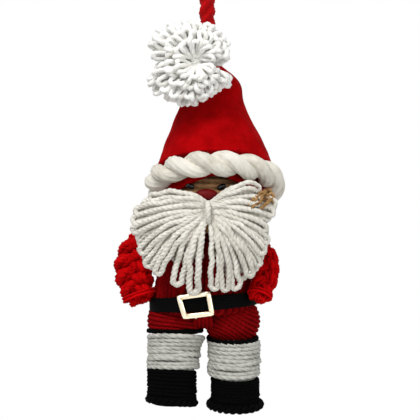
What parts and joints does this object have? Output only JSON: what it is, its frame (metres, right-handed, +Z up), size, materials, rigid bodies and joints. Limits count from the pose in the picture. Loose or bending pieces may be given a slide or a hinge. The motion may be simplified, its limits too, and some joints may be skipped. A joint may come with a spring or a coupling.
{
  "type": "hanging yarn doll",
  "caption": "Bearded yarn doll in a pointed felt hat that hangs on a cord loop; head, arms, legs, beard and pompom move on their ties.",
  "frame": {"origin": "the inside top of the hanging loop, where a peg or twig carries it", "axes": "+Z up, -Y the way the doll faces, +X to the viewer's right when it is seen from the front; hanging at rest"},
  "size_m": [0.0684, 0.0591, 0.179],
  "materials": {
    "red_cord": "twisted red cord, matte",
    "red_felt": "deep red wool felt",
    "red_wool": "dark red wool",
    "bright_red_wool": "bright red wool braid",
    "white_wool": "off-white wool",
    "black_wool": "black wool",
    "tan_wool": "tan wool, wound",
    "black_bead": "glossy black bead",
    "nose_bead": "dark red bead, satin",
    "black_ribbon": "black satin ribbon",
    "pale_gold": "pale gold plating, bright",
    "card_core": "plain wooden dowel, hidden by the wool"
  },
  "bodies": {
    "hanger": {"hanger_loop": "red_cord"},
    "head": {"hat_shell": "red_felt", "hat_brim": "white_wool", "head_ball": "tan_wool", "eye_left": "black_bead", "eye_right": "black_bead", "nose": "nose_bead", "moustache": "white_wool", "beard_tie": "white_wool"},
    "beard": {"beard": "white_wool"},
    "pompom": {"pompom": "white_wool", "pompom_tie": "white_wool"},
    "torso": {"torso": "red_wool", "neck_tie": "red_wool", "belt": "black_ribbon"},
    "buckle": {"buckle": "pale_gold"},
    "arm_left": {"arm_left": "bright_red_wool", "wrist_tie_left": "bright_red_wool"},
    "arm_right": {"arm_right": "bright_red_wool", "wrist_tie_right": "bright_red_wool"},
    "leg_left": {"thigh_left": "red_wool", "knee_tie_left": "black_wool", "leg_core_left": "card_core", "cuff_winding_left": "white_wool", "boot_winding_left": "black_wool", "boot_rim_left": "black_wool", "boot_sole_left": "black_wool"},
    "leg_right": {"thigh_right": "red_wool", "knee_tie_right": "black_wool", "leg_core_right": "card_core", "cuff_winding_right": "white_wool", "boot_winding_right": "black_wool", "boot_rim_right": "black_wool", "boot_sole_right": "black_wool"}
  },
  "joints": [
    {"name": "hang_swing", "type": "hinge", "parent": "hanger", "child": "head", "pos_m": [0.0004, 0, -0.036], "axis": [0, 1, 0], "range_deg": [-25, 25]},
    {"name": "head_turn", "type": "hinge", "parent": "head", "child": "torso", "pos_m": [-0.001, 0, -0.1043], "axis": [0, 0, 1], "range_deg": [-10, 10]},
    {"name": "beard_lift", "type": "hinge", "parent": "head", "child": "beard", "pos_m": [0.00085, -0.02114, -0.09718], "axis": [-1, 0, 0], "range_deg": [0, 25]},
    {"name": "pompom_swivel", "type": "hinge", "parent": "head", "child": "pompom", "pos_m": [-0.0053, -0.0214, -0.0379], "axis": [0.288, 0.9576, 0], "range_deg": [-25, 25]},
    {"name": "shoulder_left", "type": "hinge", "parent": "torso", "child": "arm_left", "pos_m": [-0.02237, 0, -0.112], "axis": [0, 1, 0], "range_deg": [0, 70]},
    {"name": "shoulder_right", "type": "hinge", "parent": "torso", "child": "arm_right", "pos_m": [0.02037, 0, -0.112], "axis": [0, -1, 0], "range_deg": [0, 70]},
    {"name": "hip_left", "type": "hinge", "parent": "torso", "child": "leg_left", "pos_m": [-0.0131, 0, -0.1386], "axis": [1, 0, 0], "range_deg": [-35, 30]},
    {"name": "hip_right", "type": "hinge", "parent": "torso", "child": "leg_right", "pos_m": [0.0111, 0, -0.1386], "axis": [1, 0, 0], "range_deg": [-35, 30]},
    {"name": "buckle_slide", "type": "hinge", "parent": "torso", "child": "buckle", "pos_m": [-0.001, 0.01942, -0.1309], "axis": [0, 0, 1], "range_deg": [-10, 10]}
  ]
}
